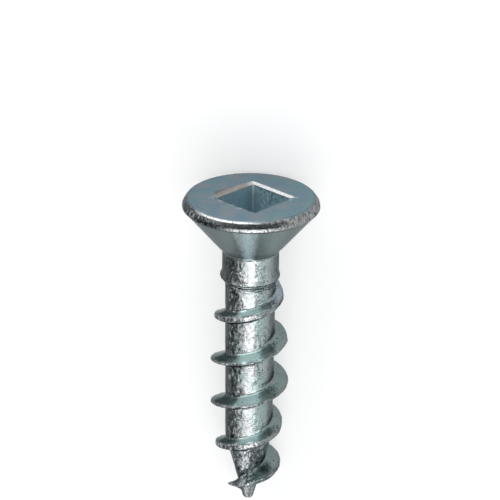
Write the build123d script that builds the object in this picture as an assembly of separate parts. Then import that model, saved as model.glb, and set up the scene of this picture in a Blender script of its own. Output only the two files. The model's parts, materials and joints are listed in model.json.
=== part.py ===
from build123d import *
import os
from math import asin, atan, atan2, cos, degrees, hypot, pi, radians, sin, tan

# Flat head wood screw with a square drive, made in one piece: the head is cold-headed on a
# length of steel wire, the coarse thread is rolled and the point is formed with it.
# Millimetres. The screw is drawn upright, with the middle of the head's top face at the
# origin and the point straight down, and is then laid on the ground as it comes to rest.
# A depth is measured down the axis from the top face.

# Head
head_diameter = 7.8
rim_width = 0.35
rim_depth = 0.5
rim_corner = 0.08
countersink_angle = 80.0
neck_corner = 0.3

# Neck, and the raised ring that the rolling dies leave where the thread starts
neck_diameter = 3.23
ring_diameter = 3.4
ring_depth = 4.75
ring_rise = 0.5
ring_fall = 0.45
ring_rounding = 0.25

# Core of the thread, and the point
screw_length = 19.05
root_diameter = 2.86
root_taper = 0.14
root_corner = 0.25
point_length = 4.25
point_blend = 2.0
point_radius = 0.34

# Thread: right-handed, one start. Its crest passes start_angle at first_crest_depth.
thread_diameter = 4.5
pitch = 2.7
first_crest_depth = 5.77
start_angle = 27.0
head_flank_angle = 19.0
point_flank_angle = 24.0
crest_land = 0.11
bury = 0.25
points_per_turn = 16

# The crest rises out of the ring's foot and is full from full_crest_depth. Towards the point,
# measured up from the tip, the blank had less metal: the crest gets lower from lowering_height,
# is low and flat from low_height to point_crest_height, sharp again at sharp_height, and sinks
# into the point before run_out_height. Both ends of the ridge lie inside the core.
run_in_depth = 4.85
run_in_diameter = 2.46
first_crest_diameter = 3.86
full_crest_depth = 9.55
lowering_height = 6.65
low_height = 5.05
point_crest_height = 2.6
low_crest_diameter = 3.86
sharp_height = 1.0
sharp_crest_diameter = 2.4
run_out_height = 0.5
run_out_diameter = 0.3
point_crest_share = 0.6
run_out_share = 0.6

# Square drive: a shallow flare, slightly tapered walls and a hollow left by the punch
drive_mouth = 3.48
drive_flare_depth = 0.15
drive_width = 2.72
drive_floor_width = 2.56
drive_depth = 2.3
drive_cone_depth = 0.55
drive_cone_tip = 0.2
drive_corner = 0.12
drive_turn = 46.0

# The side of the screw, round its axis, that faces the ground when it lies
ground_side = 80.0
rest_steps_per_turn = 180

head_radius = head_diameter / 2
face_radius = head_radius - rim_width
neck_radius = neck_diameter / 2
root_radius = root_diameter / 2
thread_radius = thread_diameter / 2
low_crest_radius = low_crest_diameter / 2
point_start_radius = root_radius - root_taper / 2

neck_top = rim_depth + (head_radius - neck_radius) / tan(radians(countersink_angle / 2))
root_start = ring_depth + ring_fall
point_depth = screw_length - point_length
lowering_depth = screw_length - lowering_height
low_depth = screw_length - low_height
point_crest_depth = screw_length - point_crest_height
sharp_depth = screw_length - sharp_height
run_out_depth = screw_length - run_out_height


def smooth(share):
    """A share of 0 to 1, eased in and out."""
    share = min(max(share, 0.0), 1.0)
    return share * share * (3 - 2 * share)


def along(depth, stations):
    """The value at a depth, running smoothly from each (depth, value) station to the next."""
    value = stations[0][1]
    for (depth_a, value_a), (depth_b, value_b) in zip(stations, stations[1:]):
        if depth >= depth_a:
            value = value_a + (value_b - value_a) * smooth((depth - depth_a) / (depth_b - depth_a))
    return value


def point_half_angle():
    """Half the angle of the cone that runs from the core to the rounded tip."""
    drop = point_length - point_radius
    return atan2(point_start_radius, drop) - asin(point_radius / hypot(point_start_radius, drop))


def core_radius(depth):
    """Radius of the core at a depth below the ring."""
    if depth < point_depth:
        share = max(depth - root_start, 0.0) / (point_depth - root_start)
        return root_radius + (point_start_radius - root_radius) * share
    return max(point_start_radius - (depth - point_depth) * tan(point_half_angle()), point_radius)


def crest_radius(depth):
    """Radius of the thread's crest where the crest is at this depth."""
    grown = along(
        depth,
        [
            (run_in_depth, run_in_diameter / 2),
            (first_crest_depth, first_crest_diameter / 2),
            (full_crest_depth, thread_radius),
        ],
    )
    left = along(
        depth,
        [
            (lowering_depth, thread_radius),
            (low_depth, low_crest_radius),
            (point_crest_depth, low_crest_radius),
            (sharp_depth, sharp_crest_diameter / 2),
            (run_out_depth, run_out_diameter / 2),
        ],
    )
    return min(grown, left)


def flank_spread(side, depth):
    """Width that a flank gains for each millimetre towards the core, less on the point."""
    angle = head_flank_angle if side > 0 else point_flank_angle
    return tan(radians(angle)) * along(depth, [(point_crest_depth, 1.0), (run_out_depth, run_out_share)])


def crest_width(depth):
    """Width of the flat on the crest, wider where the thread was left low."""
    lost = thread_radius - crest_radius(depth)
    share = along(depth, [(low_depth, 1.0), (point_crest_depth, point_crest_share), (sharp_depth, 0.0)])
    return crest_land + lost * share * (flank_spread(1, depth) + flank_spread(-1, depth))


def crest_angle(depth):
    return radians(start_angle) - 2 * pi * (depth - first_crest_depth) / pitch


def thread_point(depth, radius, side):
    """A point of the thread's section: side is 1 on the head's side and -1 on the point's."""
    half_width = crest_width(depth) / 2 + (crest_radius(depth) - radius) * flank_spread(side, depth)
    angle = crest_angle(depth)
    return Vector(radius * cos(angle), radius * sin(angle), -depth + side * half_width)


def thread_section(depth):
    """The four corners of the thread's section, its foot sunk into the core."""
    crest = crest_radius(depth)
    foot = min(core_radius(depth) - bury, crest - bury / 2)
    return [
        thread_point(depth, foot, 1),
        thread_point(depth, crest, 1),
        thread_point(depth, crest, -1),
        thread_point(depth, foot, -1),
    ]


def thread_ridge():
    """The rolled ridge: four strips between helical edges, closed at each end."""
    length = run_out_depth - run_in_depth
    steps = round(length / pitch * points_per_turn)
    sections = [thread_section(run_in_depth + length * i / steps) for i in range(steps + 1)]
    edges = [Spline(*[section[corner] for section in sections]).edge() for corner in range(4)]
    strips = [Face.make_surface_from_curves(edges[i], edges[(i + 1) % 4]) for i in range(4)]
    ends = [Face(Wire.make_polygon(sections[i], close=True)) for i in (0, -1)]
    return Solid(Shell(strips + ends))


def turned_body():
    """Head, neck, ring, core and point, as one turned form."""
    half_angle = point_half_angle()
    tip_centre = point_radius - screw_length
    tip_side = (point_radius * cos(half_angle), tip_centre - point_radius * sin(half_angle))
    middle = (pi / 2 + half_angle) / 2
    tip_middle = (point_radius * cos(middle), tip_centre - point_radius * sin(middle))
    tip = (0, -screw_length)
    below_rim = [
        (head_radius, -rim_depth),
        (neck_radius, -neck_top),
        (neck_radius, -ring_depth + ring_rise),
        (ring_diameter / 2, -ring_depth),
        (root_radius, -root_start),
        (point_start_radius, -point_depth),
        tip_side,
    ]
    corners = [neck_corner, ring_rounding, ring_rounding, root_corner, point_blend]
    with BuildPart() as body:
        with BuildSketch(Plane.XZ) as outline:
            with BuildLine():
                Line((0, 0), (face_radius, 0))
                EllipticalCenterArc((face_radius, -rim_depth), rim_width, rim_depth, arc_size=90)
                FilletPolyline(*below_rim, radius=corners)
                ThreePointArc(tip_side, tip_middle, tip)
                Line(tip, (0, 0))
            make_face()
            fillet(outline.vertices().sort_by(Axis.X)[-1], rim_corner)
        revolve(axis=Axis.Z)
    return body.part


def drive_recess():
    """The space that the square drive leaves in the head."""
    flare_end = Plane.XY.offset(-drive_flare_depth)
    floor = Plane.XY.offset(-drive_depth)
    with BuildPart() as recess:
        with BuildSketch(Plane.XY):
            RectangleRounded(drive_mouth, drive_mouth, drive_corner)
        with BuildSketch(flare_end):
            RectangleRounded(drive_width, drive_width, drive_corner)
        loft(ruled=True)
        with BuildSketch(flare_end):
            RectangleRounded(drive_width, drive_width, drive_corner)
        with BuildSketch(floor):
            RectangleRounded(drive_floor_width, drive_floor_width, drive_corner)
        loft(ruled=True)
        with Locations(floor.offset(-drive_cone_depth / 2)):
            Cone(drive_cone_tip / 2, drive_floor_width / 2, drive_cone_depth)
    return recess.part.rotate(Axis.Z, drive_turn)


def resting_slope():
    """Slope of the axis when the rim and the thread's crest both touch the ground."""
    slopes = []
    step = pitch / rest_steps_per_turn
    for i in range(round((sharp_depth - first_crest_depth) / step)):
        depth = first_crest_depth + i * step
        lever = crest_radius(depth) * cos(crest_angle(depth) - radians(ground_side))
        lowest_edge = depth + crest_width(depth) / 2
        slopes.append((head_radius - lever) / (lowest_edge - rim_depth))
    return min(slopes)


def laid_down(upright):
    """The screw on the ground, head towards +Y, with the box's bottom centre at the origin."""
    lying = Rot(Z=90 - ground_side) * upright
    lying = Rot(X=degrees(atan(resting_slope())) - 90) * lying
    box = lying.bounding_box()
    return Pos(-box.center().X, -box.center().Y, -box.min.Z) * lying


screw = laid_down(turned_body() + thread_ridge() - drive_recess())

os.makedirs("parts", exist_ok=True)
export_step(screw, "parts/wood_screw.step")
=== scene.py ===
import json
from math import asin, atan2, cos, hypot, pi, radians, sin, tan
from types import SimpleNamespace

import bpy
import numpy as np
from mathutils import Matrix, Vector, noise


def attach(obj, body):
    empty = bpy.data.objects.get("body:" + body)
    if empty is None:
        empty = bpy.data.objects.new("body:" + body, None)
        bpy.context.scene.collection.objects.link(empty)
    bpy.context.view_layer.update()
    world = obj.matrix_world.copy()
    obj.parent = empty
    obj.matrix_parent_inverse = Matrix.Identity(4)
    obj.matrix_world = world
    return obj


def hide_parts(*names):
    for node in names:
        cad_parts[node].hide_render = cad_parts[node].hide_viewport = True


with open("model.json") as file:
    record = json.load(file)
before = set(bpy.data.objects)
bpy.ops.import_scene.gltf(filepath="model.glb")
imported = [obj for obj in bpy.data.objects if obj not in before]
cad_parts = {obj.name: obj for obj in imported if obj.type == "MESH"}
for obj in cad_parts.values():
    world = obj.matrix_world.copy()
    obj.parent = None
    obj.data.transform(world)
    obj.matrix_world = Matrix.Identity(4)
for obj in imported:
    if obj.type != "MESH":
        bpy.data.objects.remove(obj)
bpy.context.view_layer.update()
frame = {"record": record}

# The look of a zinc-plated wood screw. It is modelled upright, in millimetres, with the middle
# of its top face at the origin and the photograph's camera towards -Y, and the finished mesh is
# then laid down where the frame has it. A depth is measured down the axis from the top face.
MM = 0.001
GROUND_SIDE = radians(80)

# Turned form: head, neck, ring, core and point
HEAD_RADIUS = 3.9
RIM_DEPTH = 0.5
CONE_HALF_ANGLE = radians(40)
NECK_RADIUS = 1.615
NECK_FILLET = 0.08
RING_RADIUS = 1.7
RING_DEPTH = 4.75
RING_RISE = 0.28
ROOT_START = 5.2
ROOT_RADIUS = 1.43
POINT_DEPTH = 14.8
POINT_START_RADIUS = 1.36
SCREW_LENGTH = 19.04
TIP_RADIUS = 0.34
SHANK_EASING = 0.07
EASING_SAMPLES = 11

# Rim in section: a small rounding from the face, a flat, and a large rounding into the cone
RIM_CHAMFER = radians(55)
RIM_TOP_ROUNDING = 0.25
RIM_FLAT = 0.22
RIM_SIDE_ROUNDING = 0.40
RIM_WIDEST = 0.50
RIM_LAST_TILT = radians(96)
RIM_TOP_ROWS, RIM_FLAT_ROWS, RIM_SIDE_ROWS = 6, 5, 14

# Thread. Stations are (depth, value).
PITCH = 2.7
FIRST_CREST_DEPTH = 5.77
START_ANGLE = radians(27)
THREAD_RADIUS = 2.25
HEAD_FLANK = tan(radians(19))
POINT_FLANK = tan(radians(24))
CREST_STATIONS = [
    (4.85, 1.23), (5.77, 1.93), (9.55, 2.25), (12.4, 2.25),
    (14.0, 1.93), (16.45, 1.93), (18.05, 1.2), (18.55, 0.15),
]
CREST_LAND = 0.09
LOW_LAND_STATIONS = [(14.0, 1.0), (16.45, 0.6), (18.05, 0.0)]
ROOT_FILLET = 0.24
CREST_ROUNDING = 0.03

# Square drive, off centre and torn outwards on one side, between two angles in degrees
MOUTH = 3.34
MOUTH_ROUNDING = 0.02
MOUTH_DROP = 0.3 * MOUTH_ROUNDING
FLARE_DEPTH = 0.10
DRIVE_WIDTH = 2.96
DRIVE_FLOOR_WIDTH = 2.7
DRIVE_DEPTH = 2.3
DRIVE_CONE_DEPTH = 0.55
DRIVE_CONE_SHARE = 0.98
DRIVE_CORNER = 0.12
DRIVE_TURN = radians(46)
DRIVE_SHIFT = 0.12
TORN_WIDTH = 0.46
TORN_RISE = (92, 160)
TORN_FALL = (163, 177)

# Mesh: rings of the head, and a sheet that winds down with the thread
COLUMNS = 240
RECESS_STEPS = (10, 2, 24, 5, 1)
RECESS_ROWS = 1 + sum(RECESS_STEPS)
FACE_STEPS = 16
CONE_FIRST_STEP = 0.05
CONE_STEP = 0.06
THREAD_TOP = 4.3
SHEET_TURNS = (-1.1, 5.6)
SHEET_STEPS = (3, 4, 9, 8)
LAND_EDGE = 0.015
LEAST_RIDGE = 0.05
ZONE_EDGE = 0.03
RAISED_FULLY = 0.1
WELD_STEPS_PER_MM = 1e5
SHARP_ANGLE = radians(50)

# Roughness of the mesh. Fractals are (scale across, scale along, octaves, shift), and a pair
# named a fade is the depth or radius where something starts and where it is full.
FRACTAL_ROUGHNESS, FRACTAL_STEP = 0.9, 2.1
LUMPS = (2.6, 1.3, 3, 4.0)
GRAIN = (7.0, 3.5, 2, 9.0)
NICKS = (1.9, 1.9, 3, 21.0)
DENTS = (1.6, 1.6, 3, 33.0)
ROLLED_FADE = (3.3, 3.6)
LUMP_HEIGHT, GRAIN_HEIGHT = 0.016, 0.006
# the step where the dies gripped the neck, with a groove along it
STEP_DEPTH, STEP_WIDTH, STEP_WAVER = 3.25, 0.04, 0.02
STEP_HEIGHT = 0.03
STEP_FADE = (2.8, 3.2)
GROOVE_DEPTH, GROOVE_WIDTH = 3.22, 0.05
# wrinkles below the ring, and the ring's bulge on the left
WRINKLE_DEPTH, WRINKLE_REACH = 5.25, 0.3
WRINKLE_PITCH, WRINKLE_HEIGHT = 0.27, 0.016
WRINKLE_WAVER, WRINKLE_SWAY = 0.05, 0.06
BULGE_DEPTH, BULGE_REACH, BULGE_HEIGHT = 4.72, 0.16, 0.07
# the crest's wear, its nicks, and the flats on the right of its first turns
CREST_WEAR = 0.012
NICK_START, NICK_MOST, NICK_HEIGHT = 0.18, 0.5, 0.22
CREST_FACET = radians(40)
CREST_FACET_START = radians(8)
CREST_FACET_SHARE = 0.6
CREST_FACET_FADE = (9.6, 9.0)
CREST_FACET_SIDE = 1.0
# the head: waves on the face, dents in the rim, grain in the recess
HEAD_FADE = (3.4, 3.0)
FACE_WAVES = 0.004
DENTED_FADE, DENTED_DEPTH = (3.5, 3.6), 0.7
DENT_HEIGHT, DENT_TOP, DENT_SINK, DENT_GRAIN = 0.010, 0.2, 0.3, 0.8
RECESS_GRAIN = 0.008
OUTER_TILT = 0.3


def eased(places, stations):
    """Values at several places, running smoothly from each (place, value) station to the next."""
    values = np.full_like(places, stations[0][1])
    for (a, value_a), (b, value_b) in zip(stations, stations[1:]):
        share = fade(places, a, b)
        values = values + (value_b - value_a) * share * share * (3 - 2 * share)
    return values


def fade(values, start, end):
    """0 at start and before it, 1 at end and beyond."""
    return np.clip((values - start) / (end - start), 0, 1)


def bell(values, middle, reach):
    return np.exp(-(((values - middle) / reach) ** 2))


def smooth_max(a, b, blend):
    """The larger of two surfaces, with a fillet of about this width where they meet."""
    overlap = np.maximum(blend - np.abs(a - b), 0) / blend
    return np.maximum(a, b) + overlap * overlap * blend / 4


def shank_radius(depth):
    """Radius of the turned form below the head: neck, ring, core and point."""
    tip_centre = SCREW_LENGTH - TIP_RADIUS
    drop = tip_centre - POINT_DEPTH
    half_angle = atan2(POINT_START_RADIUS, drop) - asin(TIP_RADIUS / hypot(POINT_START_RADIUS, drop))
    stations = [
        (RING_DEPTH - RING_RISE, NECK_RADIUS),
        (RING_DEPTH, RING_RADIUS),
        (ROOT_START, ROOT_RADIUS),
        (POINT_DEPTH, POINT_START_RADIUS),
        (tip_centre, POINT_START_RADIUS - drop * tan(half_angle)),
    ]
    places, radii = zip(*stations)
    offsets = SHANK_EASING * np.linspace(-1, 1, EASING_SAMPLES)
    shank = np.mean([np.interp(depth + offset, places, radii) for offset in offsets], axis=0)
    past_centre = np.clip(depth - tip_centre, -TIP_RADIUS, TIP_RADIUS)
    tip = np.sqrt(TIP_RADIUS**2 - past_centre**2)
    tip_start = tip_centre - TIP_RADIUS * sin(half_angle)
    return np.where(depth > tip_start, np.minimum(shank, tip), shank)


def crest_radius(depth):
    return eased(depth, CREST_STATIONS)


def crest_width(depth):
    """Width of the flat on the crest, wider where the thread was left low."""
    lost = THREAD_RADIUS - crest_radius(depth)
    return CREST_LAND + lost * eased(depth, LOW_LAND_STATIONS) * (HEAD_FLANK + POINT_FLANK)


def ridge_radius(crest_depth, offset):
    """Radius of the thread's ridge at an axial offset from its crest, without the core."""
    beyond = np.abs(offset) - crest_width(crest_depth) / 2
    flank = np.where(offset < 0, HEAD_FLANK, POINT_FLANK)
    return crest_radius(crest_depth) - smooth_max(beyond, np.zeros_like(beyond), CREST_ROUNDING) / flank


def sheet_offsets(crest_depth):
    """Axial offsets of the rows of mesh round each point of the crest, from half a pitch above
    to half a pitch below: close together on the ridge, wider apart in the root."""
    half_land = crest_width(crest_depth) / 2
    height = np.maximum(crest_radius(crest_depth) - shank_radius(crest_depth), LEAST_RIDGE)
    halves = []
    for flank in (HEAD_FLANK, POINT_FLANK):
        foot = half_land + height * flank + ROOT_FILLET
        middle, far = np.zeros_like(foot), np.full_like(foot, PITCH / 2)
        ends = [middle, half_land - LAND_EDGE, half_land + LAND_EDGE, foot, far]
        half = [
            a + (b - a) * step / count
            for a, b, count in zip(ends, ends[1:], SHEET_STEPS)
            for step in range(count)
        ]
        halves.append(half + [ends[-1]])
    upper = [-offset for offset in halves[0][:0:-1]]
    return np.stack(upper + halves[1], axis=1)


def square_radius(angles, width):
    """Distance from the axis to a square with rounded corners, in several directions."""
    folded = np.abs((angles - DRIVE_TURN + pi / 4) % (pi / 2) - pi / 4)
    half = width / 2
    inner = half - DRIVE_CORNER
    towards = inner * (np.cos(folded) + np.sin(folded))
    arc = towards + np.sqrt(np.maximum(towards**2 - 2 * inner**2 + DRIVE_CORNER**2, 0))
    return np.where(half * np.tan(folded) > inner, arc, half / np.cos(folded))


def torn_mouth(angles):
    """How much further out the mouth of the drive is torn, on one side towards a corner."""
    turn = np.degrees(angles) % 360
    return TORN_WIDTH * fade(turn, *TORN_RISE) * (1 - fade(turn, *TORN_FALL))


def rim_profile():
    """The rim's section as (radius, depth), from the face's edge to the cone."""
    sides = np.linspace(RIM_CHAMFER, RIM_LAST_TILT, RIM_SIDE_ROWS)
    side = [
        (HEAD_RADIUS - RIM_SIDE_ROUNDING * (1 - sin(tilt)), RIM_WIDEST - RIM_SIDE_ROUNDING * cos(tilt))
        for tilt in sides
    ]
    side_out, side_down = side[0]
    flat_out = side_out - RIM_FLAT * cos(RIM_CHAMFER)
    flat_down = side_down - RIM_FLAT * sin(RIM_CHAMFER)
    top = [
        (
            flat_out + RIM_TOP_ROUNDING * (sin(tilt) - sin(RIM_CHAMFER)),
            flat_down + RIM_TOP_ROUNDING * (cos(RIM_CHAMFER) - cos(tilt)),
        )
        for tilt in np.linspace(0, RIM_CHAMFER, RIM_TOP_ROWS)
    ]
    shares = np.arange(1, RIM_FLAT_ROWS + 1) / (RIM_FLAT_ROWS + 1)
    flat = [(flat_out + (side_out - flat_out) * t, flat_down + (side_down - flat_down) * t) for t in shares]
    # stretched upwards so that it starts level with the face
    drop = top[0][1]
    return [(out, down - drop * max(1 - down / RIM_WIDEST, 0)) for out, down in top + flat + side]


def head_rows(angles):
    """Rings of the head as (radii, depth), from the recess's bottom out and down to the thread."""
    one = np.ones_like(angles)
    torn = torn_mouth(angles)
    rim = rim_profile()
    corners = [
        (0 * one, DRIVE_DEPTH + DRIVE_CONE_DEPTH),
        (one * DRIVE_CONE_SHARE * DRIVE_FLOOR_WIDTH / 2, DRIVE_DEPTH),
        (square_radius(angles, DRIVE_FLOOR_WIDTH), DRIVE_DEPTH),
        (square_radius(angles, DRIVE_WIDTH), FLARE_DEPTH),
        (square_radius(angles, MOUTH - MOUTH_ROUNDING) + torn, MOUTH_DROP),
        (square_radius(angles, MOUTH + MOUTH_ROUNDING) + torn, 0.0),
        (one * rim[0][0], 0.0),
    ]
    rows = [corners[0]]
    for start, end, count in zip(corners, corners[1:], RECESS_STEPS + (FACE_STEPS,)):
        for share in np.arange(1, count + 1) / count:
            rows.append(tuple(a + (b - a) * share for a, b in zip(start, end)))
    rows.extend((out * one, down) for out, down in rim[1:])
    for depth in np.arange(rim[-1][1] + CONE_FIRST_STEP, THREAD_TOP, CONE_STEP):
        cone = HEAD_RADIUS - (depth - RIM_DEPTH) * tan(CONE_HALF_ANGLE)
        rows.append((smooth_max(cone * one, shank_radius(depth * one), NECK_FILLET), depth))
    rows.append((shank_radius(THREAD_TOP * one), THREAD_TOP))
    return rows


def head_rings():
    """Points of the head, ring by ring."""
    angles = START_ANGLE - 2 * pi * np.arange(COLUMNS) / COLUMNS
    rows = head_rows(angles)
    radii = np.array([ring for ring, _ in rows])
    depths = np.array([np.full(COLUMNS, depth) for _, depth in rows])
    rings = np.stack([radii * np.cos(angles), radii * np.sin(angles), -depths], axis=2)
    # the recess is off centre, and the rings of the face make up for it
    last = RECESS_ROWS + FACE_STEPS
    shift = fade(np.arange(len(rows)), last, RECESS_ROWS)
    rings[:, :, 0] += DRIVE_SHIFT * shift[:, None]
    return rings


def thread_sheet():
    """Points of the sheet, step by step along the crest and row by row across it, and how far
    each belongs to the ridge's upper flank and to its crest."""
    first, last = (round(turns * COLUMNS) for turns in SHEET_TURNS)
    turns = np.arange(first, last)[:, None] / COLUMNS
    crest_depth = FIRST_CREST_DEPTH + PITCH * turns
    offsets = sheet_offsets(crest_depth[:, 0])[:, :-1]
    depth = np.clip(crest_depth + offsets, THREAD_TOP, SCREW_LENGTH)
    radius = smooth_max(shank_radius(depth), ridge_radius(crest_depth, depth - crest_depth), ROOT_FILLET)
    radius = np.where(depth >= SCREW_LENGTH, 0.0, radius)
    radius = np.where(depth <= THREAD_TOP, shank_radius(np.full_like(depth, THREAD_TOP)), radius)
    angle = START_ANGLE - 2 * pi * turns
    sheet = np.stack([radius * np.cos(angle), radius * np.sin(angle), -depth], axis=2)

    beyond_land = np.abs(depth - crest_depth) - crest_width(crest_depth) / 2
    raised = fade(radius - shank_radius(depth), 0, RAISED_FULLY)
    upper = raised * fade(beyond_land, 0, ZONE_EDGE) * (depth < crest_depth)
    crest = raised * fade(beyond_land, ZONE_EDGE, 0)
    return sheet, upper, crest


def ring_quads(ring_count):
    for row in range(ring_count - 1):
        for column in range(COLUMNS):
            following = (column + 1) % COLUMNS
            upper, lower = row * COLUMNS, (row + 1) * COLUMNS
            yield upper + column, upper + following, lower + following, lower + column


def sheet_quads(base, step_count, row_count):
    """Quads of the sheet. Its last row is joined to the first row of the next turn."""

    def index(step, row):
        if row == row_count:
            return base + (step + COLUMNS) * row_count
        return base + step * row_count + row

    for step in range(step_count - 1):
        rows = row_count if step + 1 + COLUMNS < step_count else row_count - 1
        for row in range(rows):
            yield index(step, row), index(step + 1, row), index(step + 1, row + 1), index(step, row + 1)


def roughen(mesh, zones):
    """Moves the surface in and out by hundredths of a millimetre: the lumps and wrinkles that
    rolling leaves, the step where the dies gripped the neck, and the nicks in the crest."""
    count = len(mesh.vertices)
    points, normals = np.zeros(count * 3), np.zeros(count * 3)
    mesh.vertices.foreach_get("co", points)
    mesh.vertex_normals.foreach_get("vector", normals)
    points, normals = points.reshape(-1, 3), normals.reshape(-1, 3)
    x, y = points[:, 0], points[:, 1]
    depth = -points[:, 2]
    angle = np.arctan2(y, x)
    recess, upper, crest = zones.T

    def fractal(across, along, octaves, shift):
        places = points * (across, across, along) + shift
        settings = (FRACTAL_ROUGHNESS, FRACTAL_STEP, octaves)
        return np.array([noise.fractal(Vector(place), *settings) for place in places])

    lumps, grain = fractal(*LUMPS), fractal(*GRAIN)
    move = fade(depth, *ROLLED_FADE) * (LUMP_HEIGHT * lumps + GRAIN_HEIGHT * grain)
    # above the step line the neck is as forged, a little smaller
    above_step = STEP_DEPTH + STEP_WAVER * lumps - depth
    forged = fade(above_step, 0, STEP_WIDTH) * fade(depth, *STEP_FADE)
    move -= STEP_HEIGHT * (forged + bell(depth, GROOVE_DEPTH, GROOVE_WIDTH))

    wrinkled = bell(depth, WRINKLE_DEPTH, WRINKLE_REACH) * (1 - crest) * (1 - upper)
    wavering = depth + WRINKLE_WAVER * lumps + WRINKLE_SWAY * np.cos(angle * 2)
    move += WRINKLE_HEIGHT * wrinkled * np.sin(wavering * 2 * pi / WRINKLE_PITCH)
    move += BULGE_HEIGHT * fade(-x, 0, NECK_RADIUS) * bell(depth, BULGE_DEPTH, BULGE_REACH)

    nicks = np.clip(fractal(*NICKS) - NICK_START, 0, NICK_MOST)
    move -= crest * (CREST_WEAR + NICK_HEIGHT * nicks * nicks)
    within = (angle + CREST_FACET_START) % CREST_FACET - CREST_FACET / 2
    flats = THREAD_RADIUS * (1 - cos(CREST_FACET / 2) / np.cos(within))
    faceted = fade(x, 0, CREST_FACET_SIDE) * fade(depth, *CREST_FACET_FADE)
    move -= crest * CREST_FACET_SHARE * faceted * flats

    head = fade(depth, *HEAD_FADE) * (1 - recess)
    dents = np.clip(fractal(*DENTS), -1, DENT_TOP) - DENT_TOP
    on_rim = fade(np.hypot(x, y), *DENTED_FADE) * (depth < DENTED_DEPTH)
    move += head * FACE_WAVES * (lumps - 1)
    move += on_rim * DENT_HEIGHT * (dents - DENT_SINK + DENT_GRAIN * grain)
    move += recess * RECESS_GRAIN * grain
    # the widest places only move inwards, so that the screw stays within its size
    outer = np.hypot(normals[:, 0], normals[:, 1]) * (on_rim + crest) > OUTER_TILT
    move = np.where(outer, np.minimum(move, 0), move)
    mesh.vertices.foreach_set("co", (points + normals * move[:, None]).ravel())
    mesh.update()


def screw_mesh(name):
    """The whole screw as one closed mesh: rings for the head, and below them a sheet that winds
    down with the thread, squeezed together where it would pass either end, all welded."""
    rings = head_rings()
    sheet, upper, crest = thread_sheet()
    base = len(rings) * COLUMNS
    quads = list(ring_quads(len(rings))) + list(sheet_quads(base, sheet.shape[0], sheet.shape[1]))
    points = np.concatenate([rings.reshape(-1, 3), sheet.reshape(-1, 3)])
    zones = np.zeros((len(points), 3))
    zones[: (RECESS_ROWS - 1) * COLUMNS, 0] = 1
    zones[base:, 1] = upper.ravel()
    zones[base:, 2] = crest.ravel()

    keys = np.round(points * WELD_STEPS_PER_MM).astype(np.int64)
    _, kept, welded = np.unique(keys, axis=0, return_index=True, return_inverse=True)
    welded = welded.ravel()
    faces = [list(dict.fromkeys(welded[list(quad)].tolist())) for quad in quads]
    mesh = bpy.data.meshes.new(name)
    mesh.from_pydata(points[kept].tolist(), [], [face for face in faces if len(face) > 2])
    mesh.validate()
    roughen(mesh, zones[kept])
    upright = np.zeros(len(mesh.vertices) * 3)
    mesh.vertices.foreach_get("co", upright)
    for attribute, values in (("upright", upright), ("zones", zones[kept].ravel())):
        mesh.attributes.new(attribute, "FLOAT_VECTOR", "POINT").data.foreach_set("vector", values)
    mesh.transform(Matrix.Scale(MM, 4))
    mesh.shade_smooth()
    mesh.set_sharp_from_angle(angle=SHARP_ANGLE)
    return mesh


mount = next(m for m in frame["record"]["mounts"] if m["name"] == "head_face")
slope = asin(mount["axis"][2])
lay_down = (
    Matrix.Translation(Vector(mount["pos_m"]))
    @ Matrix.Rotation(slope - pi / 2, 4, "X")
    @ Matrix.Rotation(pi / 2 - GROUND_SIDE, 4, "Z")
)


class Field:
    """A value or colour that varies over a surface: a node's output, with plain arithmetic."""

    def __init__(self, shader, socket):
        self.shader = shader
        self.socket = socket

    def __add__(self, other):
        return self.shader.math("ADD", self, other)

    def __sub__(self, other):
        return self.shader.math("SUBTRACT", self, other)

    def __rsub__(self, other):
        return self.shader.math("SUBTRACT", other, self)

    def __mul__(self, other):
        return self.shader.math("MULTIPLY", self, other)

    def __truediv__(self, other):
        return self.shader.math("DIVIDE", self, other)

    def __abs__(self):
        return self.shader.math("ABSOLUTE", self)

    def larger(self, other):
        return self.shader.math("MAXIMUM", self, other)

    def ramp(self, low, high, to_low=0.0, to_high=1.0):
        """to_low up to low, to_high from high on, and a straight run between."""
        node = self.shader.add("ShaderNodeMapRange", self, low, high, to_low, to_high)
        return Field(self.shader, node.outputs[0])

    def window(self, start, full, full_until, end):
        """1 from full to full_until, 0 before start and beyond end."""
        return self.ramp(start, full) * self.ramp(end, full_until)


class Shader:
    """A material's or the world's nodes, added and linked by short calls."""

    def __init__(self, owner):
        owner.use_nodes = True
        self.tree = owner.node_tree
        self.tree.nodes.clear()

    def add(self, kind, *inputs, **settings):
        node = self.tree.nodes.new(kind)
        for key, value in settings.items():
            if key in node.bl_rna.properties:
                setattr(node, key, value)
            else:
                self.plug(node.inputs[key.replace("_", " ")], value)
        for socket, value in zip(node.inputs, inputs):
            self.plug(socket, value)
        return node

    def plug(self, socket, value):
        if isinstance(value, Field):
            value = value.socket
        if isinstance(value, bpy.types.NodeSocket):
            self.tree.links.new(value, socket)
        else:
            socket.default_value = value

    def attribute(self, name):
        return Field(self, self.add("ShaderNodeAttribute", attribute_name=name).outputs["Vector"])

    def split(self, vector):
        return [Field(self, socket) for socket in self.add("ShaderNodeSeparateXYZ", vector).outputs]

    def texture(self, vector, sizes, shift, scale, detail, roughness, distortion):
        placed = self.add("ShaderNodeVectorMath", vector, sizes, (shift,) * 3, operation="MULTIPLY_ADD")
        node = self.add(
            "ShaderNodeTexNoise",
            placed.outputs[0],
            Scale=scale,
            Detail=detail,
            Roughness=roughness,
            Distortion=distortion,
        )
        return Field(self, node.outputs[0])

    def math(self, operation, *inputs):
        return Field(self, self.add("ShaderNodeMath", *inputs, operation=operation).outputs[0])

    def mix(self, share, a, b):
        node = self.add("ShaderNodeMix", data_type="RGBA")
        for socket, value in zip((node.inputs[0], node.inputs[6], node.inputs[7]), (share, a, b)):
            self.plug(socket, value)
        return Field(self, node.outputs[2])


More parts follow.
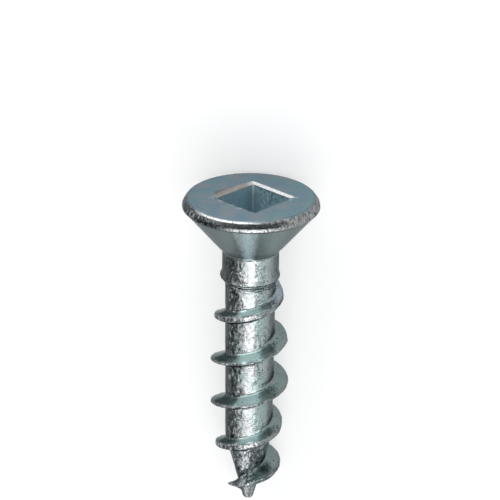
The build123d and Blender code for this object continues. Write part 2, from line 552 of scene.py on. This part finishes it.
# Colours of the plating, with painted shade, highlights and reflections among them. Shank and threads:
SILVER = (0.445, 0.462, 0.470, 1)
MINT = (0.345, 0.440, 0.438, 1)
WARM = (0.455, 0.435, 0.448, 1)
BRIGHT = (0.62, 0.64, 0.64, 1)
DULL = (0.120, 0.132, 0.133, 1)
DULL_RIGHT = (0.175, 0.195, 0.197, 1)
SPECK = (0.02, 0.03, 0.032, 1)
POINT_DARK = (0.035, 0.075, 0.085, 1)
PATINA = (0.100, 0.190, 0.180, 1)
PATINA_BRIGHT = (0.70, 1.0, 0.97, 1)
PATINA_DARK = (0.028, 0.044, 0.043, 1)
PATINA_PALE = (0.205, 0.272, 0.265, 1)
PATINA_BLUE = (0.305, 0.375, 0.420, 1)
WORN = (0.20, 0.20, 0.20, 1)
EDGE = (0.72, 0.74, 0.75, 1)
EDGE_TINT = (0.42, 0.44, 0.45, 1)
# Head:
FORGED = (0.200, 0.240, 0.240, 1)
FORGED_BRIGHT = (0.67, 0.81, 0.84, 1)
FACE_BLUE = (0.225, 0.310, 0.375, 1)
FACE_TEAL = (0.215, 0.340, 0.362, 1)
FACE_PINK = (0.310, 0.328, 0.362, 1)
FACE_SHADE = (0.11, 0.17, 0.21, 1)
RIM_METAL = (0.48, 0.50, 0.51, 1)
RIM_DULL = (0.160, 0.168, 0.170, 1)
RIM_PALE = (0.365, 0.372, 0.372, 1)
RIM_SHADE = (0.080, 0.086, 0.090, 1)
RIM_BAND = (0.070, 0.076, 0.078, 1)
# Recess:
RECESS = (0.31, 0.46, 0.52, 1)
RECESS_PALE = (0.50, 0.66, 0.70, 1)
RECESS_DARK = (0.12, 0.20, 0.22, 1)
FLARE = (0.78, 0.80, 0.80, 1)
FLARE_WARM = (0.33, 0.29, 0.25, 1)
FLARE_SHADE = (0.15, 0.145, 0.16, 1)

# Textures: sizes across and along the screw, shift, scale, detail, roughness and distortion
TEXTURES = {
    "broad": ((1, 1, 1), 0, 0.8, 3, 0.55, 0),
    "warm": ((1, 1, 0.6), 7, 1.1, 3, 0.55, 0),
    "lumps": ((1, 1, 0.4), 0, 3.4, 2, 0.5, 0),
    "ripple": ((1, 1, 0.75), 2, 8, 3, 0.6, 0.4),
    "grain": ((1, 1, 1), 0, 14, 3, 0.6, 0),
    "streaks": ((1, 1, 0.10), 3, 8, 3, 0.6, 0),
    "pitting": ((1, 1, 0.8), 11, 6.5, 2, 0.6, 0),
    "speckle": ((1, 1, 0.6), 23, 7, 3, 0.7, 0),
    "hoops": ((0.35, 0.35, 5), 5, 4, 3, 0.6, 0),
    "squiggles": ((1, 1, 0.7), 17, 3.6, 3, 0.6, 0.6),
    "mottle": ((1, 1, 0.6), 41, 4.6, 3, 0.6, 0.9),
    "drawn_out": ((1, 1, 0.15), 31, 5, 3, 0.6, 0),
}

# Azimuths round the upright screw, from the photograph's camera to the right
PLATED_SIDE = radians(5.74)
CONE_STREAK = radians(-4.01)
FLANK_STREAK = 0.0

# Zones of the surface in mm: pairs run from where a zone starts to where it is full, fours on
# to where it ends. Places are depths, radii, or X, which is the photograph's right.
FORGED_DEPTH = (3.29, 3.23)
FACE_DEPTH, FACE_RADIUS = (0.16, 0.04), (3.7, 3.5)
RIM_RADIUS, RIM_END = (3.5, 3.62), (0.68, 0.62)
RIM_START = (0.02, 0.06)
RIM_BURNISHED = (0.30, 0.36)
RIM_BAND_DEPTH = (0.10, 0.16, 0.32, 0.38)
CONE_DEPTH = (0.6, 0.75)
WORN_EDGE_DEPTH, WORN_EDGE_X = (0.012, 0.05, 0.09, 0.15), (-3.3, -2.6, -0.3, 0.9)
FLARE_END, WALL_DEPTH = (FLARE_DEPTH, 0.14), (0.1, 0.2)
BURR_REACH, BURR_DEPTH = (0.24, 0.10), (0.5, 0.3)
NECK_PATCH_DEPTH = (4.7, 4.4)
RIDGELET_DEPTH = (4.54, 4.72, 5.1, 5.35)
FLECKED_X = (-1.25, -1.05, -0.46, -0.34)
FLANK_STREAK_END = (16.3, 15.7)
POINT_PATCH_DEPTH = (14.6, 15.1, 17.4, 18.0)

# How far the plating departs from bare metal, and its roughness
PASSIVATED = {"recess": 0.6, "flank": 0.45, "cone": 0.15}
ROUGHNESS = (0.08, 0.13)
ROUGHER = {"forged": 0.18, "flank": 0.04, "recess": 0.15, "rim": -0.14}

# Relief of the plating, in mm
LUMP_RELIEF, RIPPLE_RELIEF, STREAK_RELIEF = 0.026, 0.018, 0.010
RIM_RIPPLE_RELIEF = (0.025, 0.07)
FACE_GRAIN_RELIEF, GRAIN_RELIEF = 0.003, 0.013
CREASE_RELIEF = 0.010
SPECK_RELIEF = 0.012
HOOP_RELIEF = 0.004
RIDGELET_PITCH = 0.19
RIDGELET_RELIEF = 0.013


def surface_fields(s):
    """What the colours, roughness and relief are made from: place, zones and textures."""
    place = s.attribute("upright")
    f = SimpleNamespace(**{name: s.texture(place, *how) for name, how in TEXTURES.items()})
    f.x, f.y, z = s.split(place)
    f.depth = z * -1.0
    flat = s.add("ShaderNodeVectorMath", place, (1, 1, 0), operation="MULTIPLY").outputs[0]
    f.radius = Field(s, s.add("ShaderNodeVectorMath", flat, operation="LENGTH").outputs["Value"])
    f.recess, f.flank, f.crest = s.split(s.attribute("zones"))
    f.forged = f.depth.ramp(*FORGED_DEPTH)
    f.shank = 1.0 - f.forged
    f.face = f.depth.ramp(*FACE_DEPTH) * f.radius.ramp(*FACE_RADIUS)
    f.rim = f.radius.ramp(*RIM_RADIUS) * f.depth.ramp(*RIM_END)

    def towards(azimuth):
        """1 where the shank faces this way, falling with the cosine round it."""
        return (f.x * sin(azimuth) - f.y * cos(azimuth)) / f.radius

    f.plated_side = towards(PLATED_SIDE)
    # a painted reflection: a pale stripe down the front of the cone
    f.cone_streak = (towards(CONE_STREAK) + f.drawn_out * 0.025).ramp(0.990, 1.014)
    # a painted reflection: a pale streak down the front of the flank
    f.flank_streak = towards(FLANK_STREAK).ramp(0.885, 0.965) * f.depth.ramp(*FLANK_STREAK_END)
    # where the flank is painted lit, in front and at the far side; painted shade falls on it between
    f.flank_light = f.plated_side.ramp(0.76, 0.93).larger(f.plated_side.ramp(0.25, -0.05))

    # creases and specks, fewer along the middle of the front, where the highlight falls
    on_core = f.shank - f.flank
    off_middle = abs(f.x + 0.02).ramp(0.2, 0.42, 0.15, 1.0) * f.x.ramp(0.65, 0.95, 1.0, 0.15)
    lines = abs(f.squiggles - 0.5).ramp(0.015, 0.04, 1.0, 0.0)
    f.creases = lines * f.warm.ramp(0.42, 0.58) * on_core * off_middle
    pits = f.pitting.ramp(0.60, 0.68) * f.broad.ramp(0.35, 0.6, 0.9, 0.5)
    off_head = (f.forged + f.recess).ramp(0.0, 1.0, 1.0, 0.12)
    f.specks = pits * off_head * abs(f.x + 0.05).ramp(0.22, 0.40, 0.35, 1.0)
    f.flecked = f.x.window(*FLECKED_X) * on_core * f.y.ramp(0.0, -0.3)
    return f


def shank_colour(s, f):
    """Silver and mint with pinkish clouds. The side that lies uppermost and the far side keep
    these colours, and the two sides between them are darkened with painted shade."""
    minty = f.broad.ramp(0.45, 0.65) * abs(f.x + 0.05).ramp(0.2, 0.4, 0.2, 1.0)
    colour = s.mix(minty.larger(f.x.ramp(0.25, 0.6)), SILVER, MINT)
    colour = s.mix(f.warm.ramp(0.5, 0.8), colour, WARM)
    # painted shade on the sides between the uppermost and far sides, reaching further round on the left of
    # the neck
    well_plated = f.plated_side.ramp(0.64, 0.92).larger(f.plated_side.ramp(0.05, -0.25))
    neck_patch = f.depth.ramp(*NECK_PATCH_DEPTH) * (f.x + f.warm * 0.5).ramp(0.0, -0.25)
    dull = s.mix(f.x.ramp(-0.3, 0.3), DULL, DULL_RIGHT)
    return s.mix(well_plated * (1.0 - neck_patch * 0.6), dull, colour)


def face_colour(s, f):
    colour = s.mix(f.broad.ramp(0.38, 0.6), FACE_BLUE, FACE_TEAL)
    colour = s.mix(f.warm.ramp(0.45, 0.7), colour, FACE_PINK)
    return s.mix(f.x.ramp(-1.2, -3.4, 0.0, 0.25), colour, FACE_SHADE)


def rim_colour(s, f):
    """A painted highlight in front below a dark band of painted shade, darkened with painted shade and
    grainy towards the sides, with painted glints on the shaded left.
    """
    from_front = abs(f.x + 0.1)
    right_grains = f.x.ramp(0.4, 1.5) * f.speckle.ramp(0.38, 0.56)
    left = s.mix(f.speckle.ramp(0.53, 0.60), RIM_SHADE, RIM_PALE)
    # painted shade towards the sides, with pale grains on the right and painted glints in the painted shade
    # on the left
    colour = s.mix(f.x.ramp(-1.9, -2.7), s.mix(right_grains, RIM_DULL, RIM_PALE), left)
    # a painted highlight along the front of the rim's lower rounding
    colour = s.mix(from_front.ramp(2.0, 0.9) * f.depth.ramp(*RIM_BURNISHED), colour, RIM_METAL)
    # a band of painted shade across the front of the rim
    band = f.depth.window(*RIM_BAND_DEPTH) * from_front.ramp(2.3, 1.6)
    colour = s.mix(band * f.speckle.ramp(0.60, 0.54, 0.4, 0.9), colour, RIM_BAND)
    pits = f.speckle.ramp(0.47, 0.40) * f.x.ramp(0.8, 2.0, 0.8, 0.45)
    return s.mix(pits, colour, SPECK)


def worn_edge(f):
    """A painted highlight: the bright line along the front left of the rim's upper rounding."""
    along = f.x.window(*WORN_EDGE_X) * f.y.ramp(-1.0, -2.2)
    across = f.depth.window(*WORN_EDGE_DEPTH) * f.radius.ramp(3.2, 3.3)
    return along * across * f.grain.ramp(0.3, 0.5)


def flank_colour(s, f):
    """Patina on the thread's upper flank, with a painted reflection as a pale streak in front and painted
    shade beside it.
    """
    colour = s.mix(f.flank_light, PATINA_DARK, PATINA)
    colour = s.mix(f.x.ramp(0.0, -0.3) * f.speckle.ramp(0.55, 0.62, 0.0, 0.5), colour, PATINA_PALE)
    colour = s.mix(f.flank_streak, colour, PATINA_BRIGHT)
    right = s.mix(f.depth.ramp(7.0, 6.2), PATINA_PALE, PATINA_BLUE)
    return s.mix(f.x.ramp(0.5, 1.0), colour, right)


def with_mouth_and_recess(s, f, colour):
    """Adds the burr round the front of the drive's mouth, the flare, and the recess's walls."""
    across = f.x - DRIVE_SHIFT
    square_x = abs(across * cos(DRIVE_TURN) + f.y * sin(DRIVE_TURN))
    square_y = abs(f.y * cos(DRIVE_TURN) - across * sin(DRIVE_TURN))
    from_centre = square_x.larger(square_y)
    from_mouth = abs(from_centre - MOUTH / 2)
    burr = from_mouth.ramp(*BURR_REACH) * f.depth.ramp(*BURR_DEPTH) * f.y.ramp(0.5, 0.1)
    colour = s.mix(burr * f.mottle.ramp(0.57, 0.63, 0.0, 0.65), colour, FLARE)
    colour = s.mix(burr * f.mottle.ramp(0.42, 0.36, 0.0, 0.6), colour, SPECK)

    torn = s.mix((from_centre + f.mottle * 0.25).ramp(1.86, 2.02), FLARE_WARM, FLARE_SHADE)
    flare = s.mix(f.x.ramp(-0.3, 0.15), torn, FLARE)
    flare = s.mix(f.ripple.ramp(0.38, 0.62, 0.0, 0.5), flare, SILVER)
    flare = s.mix(f.y.ramp(0.05, -0.05), flare, FACE_BLUE)

    right_wall = f.x.ramp(0.2, 0.6, 0.2, 0.8)
    wall = s.mix(f.speckle.ramp(0.52, 0.60) * right_wall, RECESS, RECESS_PALE)
    wall = s.mix(f.speckle.ramp(0.46, 0.38) * right_wall, wall, RECESS_DARK)
    # a painted highlight down the recess's far corner
    far_corner = abs(f.x - 0.10).ramp(0.09, 0.03) * f.y.ramp(1.5, 1.7)
    wall = s.mix(far_corner * f.depth.ramp(1.9, 0.2, 0.1, 1.0), wall, FLARE)
    return s.mix(f.recess, colour, s.mix(f.depth.ramp(*FLARE_END), flare, wall))


def with_flecks(s, f, colour):
    """Adds flecks left of the middle and on the point, whose bright ones are painted glints, and pits and
    creases.
    """
    # painted glints left of the middle
    colour = s.mix(f.flecked * f.mottle.ramp(0.55, 0.62), colour, BRIGHT)
    colour = s.mix(f.flecked * f.mottle.ramp(0.47, 0.41, 0.0, 0.9), colour, SPECK)
    off_flank = 1.0 - f.flank * f.x.ramp(0.25, 0.6)
    point = f.depth.window(*POINT_PATCH_DEPTH) * f.x.ramp(-0.5, -0.3) * off_flank
    colour = s.mix(point * f.mottle.ramp(0.53, 0.45, 0.0, 0.75), colour, POINT_DARK)
    # painted glints on the point
    colour = s.mix(point * f.x.ramp(0.45, 0.2) * f.mottle.ramp(0.52, 0.58), colour, BRIGHT)
    colour = s.mix(f.specks, colour, SPECK)
    return s.mix(f.creases * 0.85, colour, SPECK)


def plating_colour(s, f):
    colour = shank_colour(s, f)
    # the cone in its forged colour, with the painted reflection down its front
    colour = s.mix(f.forged * 0.8, colour, s.mix(f.cone_streak, FORGED, FORGED_BRIGHT))
    colour = s.mix(f.face, colour, face_colour(s, f))
    colour = s.mix(f.rim * f.depth.ramp(*RIM_START), colour, rim_colour(s, f))
    # the painted highlight along the rim's upper rounding
    colour = s.mix(worn_edge(f), colour, EDGE)
    colour = s.mix(f.flank * f.broad.ramp(0.2, 0.8, 1.0, 0.7), colour, flank_colour(s, f))
    colour = s.mix(f.crest * f.grain.ramp(0.35, 0.6), colour, WORN)
    # painted glints along the crest
    sparkle = f.speckle.ramp(0.46, 0.60, 0.0, 0.7) * f.x.ramp(0.8, 0.2, 0.15, 1.0)
    colour = s.mix(f.crest * sparkle, colour, EDGE)
    return with_flecks(s, f, with_mouth_and_recess(s, f, colour))


def plating_relief(s, f):
    """Height of the surface's finest forms, in mm."""
    height = f.lumps * LUMP_RELIEF + f.ripple * RIPPLE_RELIEF + f.streaks * STREAK_RELIEF
    # fainter on the neck, and fainter still on the head and on the thread's upper flank
    height = height * f.depth.ramp(4.5, 5.0, 0.7, 1.0)
    height = height * f.shank.ramp(0.0, 1.0, 0.12, 1.0) * f.flank.ramp(0.0, 1.0, 1.0, 0.3)
    height = height + f.ripple * f.rim * f.x.ramp(0.5, 2.5, *RIM_RIPPLE_RELIEF)
    height = height - f.creases * CREASE_RELIEF - f.specks * SPECK_RELIEF
    height = height + f.grain * f.face.ramp(0.0, 1.0, GRAIN_RELIEF, FACE_GRAIN_RELIEF)
    height = height + f.hoops * f.forged * HOOP_RELIEF
    # fine ridges across the foot of the ring
    wavering = f.depth + f.lumps * 0.30 + f.ripple * 0.10
    ridgelets = s.math("SINE", wavering * (2 * pi / RIDGELET_PITCH))
    below_ring = f.depth.window(*RIDGELET_DEPTH) * (1.0 - f.flank)
    return height + ridgelets * below_ring * RIDGELET_RELIEF


def zinc():
    """Bright zinc plating on rolled steel: blue-grey with mint and pinkish tints, streaked along
    the shank, darkened with painted shade on the sides, with painted highlights, reflections and glints,
    pits and dark specks."""
    material = bpy.data.materials.new("zinc")
    s = Shader(material)
    f = surface_fields(s)
    rough = f.grain.ramp(0.3, 0.7, *ROUGHNESS)
    for zone, more in ROUGHER.items():
        rough = rough + getattr(f, zone) * more
    passivated = f.recess * f.depth.ramp(*WALL_DEPTH) * PASSIVATED["recess"]
    passivated = passivated + f.flank * f.flank_light * PASSIVATED["flank"]
    passivated = passivated + f.forged * f.depth.ramp(*CONE_DEPTH) * PASSIVATED["cone"]
    bump = s.add("ShaderNodeBump", Strength=1.0, Distance=MM, Height=plating_relief(s, f))
    metal = s.add(
        "ShaderNodeBsdfPrincipled",
        Base_Color=plating_colour(s, f),
        Metallic=1.0 - passivated,
        Roughness=rough,
        Normal=bump.outputs[0],
        Specular_Tint=EDGE_TINT,
    )
    s.add("ShaderNodeOutputMaterial", metal.outputs[0])
    return material


screw = bpy.data.objects.new("screw", screw_mesh("screw"))
bpy.context.scene.collection.objects.link(screw)
screw.data.transform(lay_down)
screw.data.materials.append(zinc())
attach(screw, "root")
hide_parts("wood_screw")

# The floor: pale paper, which looks white to the camera and in the metal but keeps the shadow
FLOOR_REACH = 1.5
FLOOR_COLOUR = (0.53, 0.53, 0.53, 1)
FLOOR_GLOW = 0.50

floor_mesh = bpy.data.meshes.new("floor")
corners = [(x * FLOOR_REACH, y * FLOOR_REACH, 0) for x, y in ((-1, -1), (1, -1), (1, 1), (-1, 1))]
floor_mesh.from_pydata(corners, [], [(0, 1, 2, 3)])
floor = bpy.data.objects.new("floor", floor_mesh)
bpy.context.scene.collection.objects.link(floor)
paper = bpy.data.materials.new("white_paper")
s = Shader(paper)
diffuse = s.add("ShaderNodeBsdfDiffuse", Color=FLOOR_COLOUR)
rays = s.add("ShaderNodeLightPath").outputs
seen = s.math("ADD", rays["Is Camera Ray"], rays["Is Glossy Ray"]) + rays["Is Transmission Ray"]
glow = s.add("ShaderNodeEmission", Strength=seen * FLOOR_GLOW)
both = s.add("ShaderNodeAddShader", diffuse.outputs[0], glow.outputs[0])
s.add("ShaderNodeOutputMaterial", both.outputs[0])
floor.data.materials.append(paper)

# Camera: measured from the photograph in the upright screw's own frame, in mm and in the
# photograph's pixels, and laid down with the screw
CAMERA_DISTANCE = 181.46
CAMERA_ELEVATION = radians(22.672)
CAMERA_PITCH = radians(23.616)
CAMERA_YAW = radians(-0.014)
CAMERA_ROLL = radians(0.655)
FOCAL_PIXELS = 3231.63
PHOTO_PIXELS = 500
SENSOR_WIDTH = 36
CLIP_START = 0.01

towards_camera = Vector((0, -cos(CAMERA_ELEVATION), sin(CAMERA_ELEVATION)))
level = Vector((sin(CAMERA_YAW), cos(CAMERA_YAW), 0))
forward = level * cos(CAMERA_PITCH) - Vector((0, 0, sin(CAMERA_PITCH)))
right = forward.cross(Vector((0, 0, 1))).normalized()
up = right.cross(forward)
turned_right = right * cos(CAMERA_ROLL) + up * sin(CAMERA_ROLL)
turned_up = up * cos(CAMERA_ROLL) - right * sin(CAMERA_ROLL)
axes = Matrix((turned_right, turned_up, -forward)).transposed().to_4x4()
lens = bpy.data.cameras.new("camera")
lens.sensor_width = SENSOR_WIDTH
lens.lens = SENSOR_WIDTH * FOCAL_PIXELS / PHOTO_PIXELS
lens.clip_start = CLIP_START
camera = bpy.data.objects.new("camera", lens)
bpy.context.scene.collection.objects.link(camera)
camera.matrix_world = lay_down @ Matrix.Translation(towards_camera * CAMERA_DISTANCE * MM) @ axes
bpy.context.scene.camera = camera

# Lamps: soft rectangles that face the screw. Angles are in degrees: the lamp's azimuth round the
# upright screw from the camera to the right, its rise towards the head, and its apparent width
# and height. The last number is its radiance, where 1 is white.
LAMP_DISTANCE = 0.3
LAMPS = [
    ("key", 0, -10, 48, 50, 2.5),
    ("right", 48, -12, 52, 40, 1.0),
    ("left", -46, -22, 34, 36, 0.75),
    ("left_head", -72, 49, 44, 34, 1.7),
    ("head_left", -50, 79, 60, 24, 2.6),
    ("side", 72, 30, 36, 44, 0.9),
    ("point_side", -30, -60, 44, 18, 1.8),
]
WORLD_COLOUR = (0.9, 0.95, 1.0, 1)
WORLD_STRENGTH = 0.18


def softbox(name, azimuth, rise, width, height, radiance):
    azimuth, rise = radians(azimuth), radians(rise)
    upright = Vector((sin(azimuth) * cos(rise), -cos(azimuth) * cos(rise), sin(rise)))
    towards = lay_down.to_3x3() @ upright
    axis = lay_down.to_3x3() @ Vector((0, 0, 1))
    across = axis.cross(towards).normalized()
    turned = Matrix((across, towards.cross(across), towards)).transposed().to_4x4()
    light = bpy.data.lights.new(name, "AREA")
    light.shape = "RECTANGLE"
    light.size = 2 * LAMP_DISTANCE * tan(radians(width / 2))
    light.size_y = 2 * LAMP_DISTANCE * tan(radians(height / 2))
    light.energy = radiance * pi * light.size * light.size_y
    lamp = bpy.data.objects.new(name, light)
    bpy.context.scene.collection.objects.link(lamp)
    lamp.matrix_world = Matrix.Translation(towards * LAMP_DISTANCE) @ turned
    lamp.visible_camera = False


for lamp_settings in LAMPS:
    softbox(*lamp_settings)

world = bpy.data.worlds.new("studio")
bpy.context.scene.world = world
s = Shader(world)
background = s.add("ShaderNodeBackground", Color=WORLD_COLOUR, Strength=WORLD_STRENGTH)
s.add("ShaderNodeOutputWorld", background.outputs[0])

bpy.context.scene.view_settings.view_transform = "Standard"
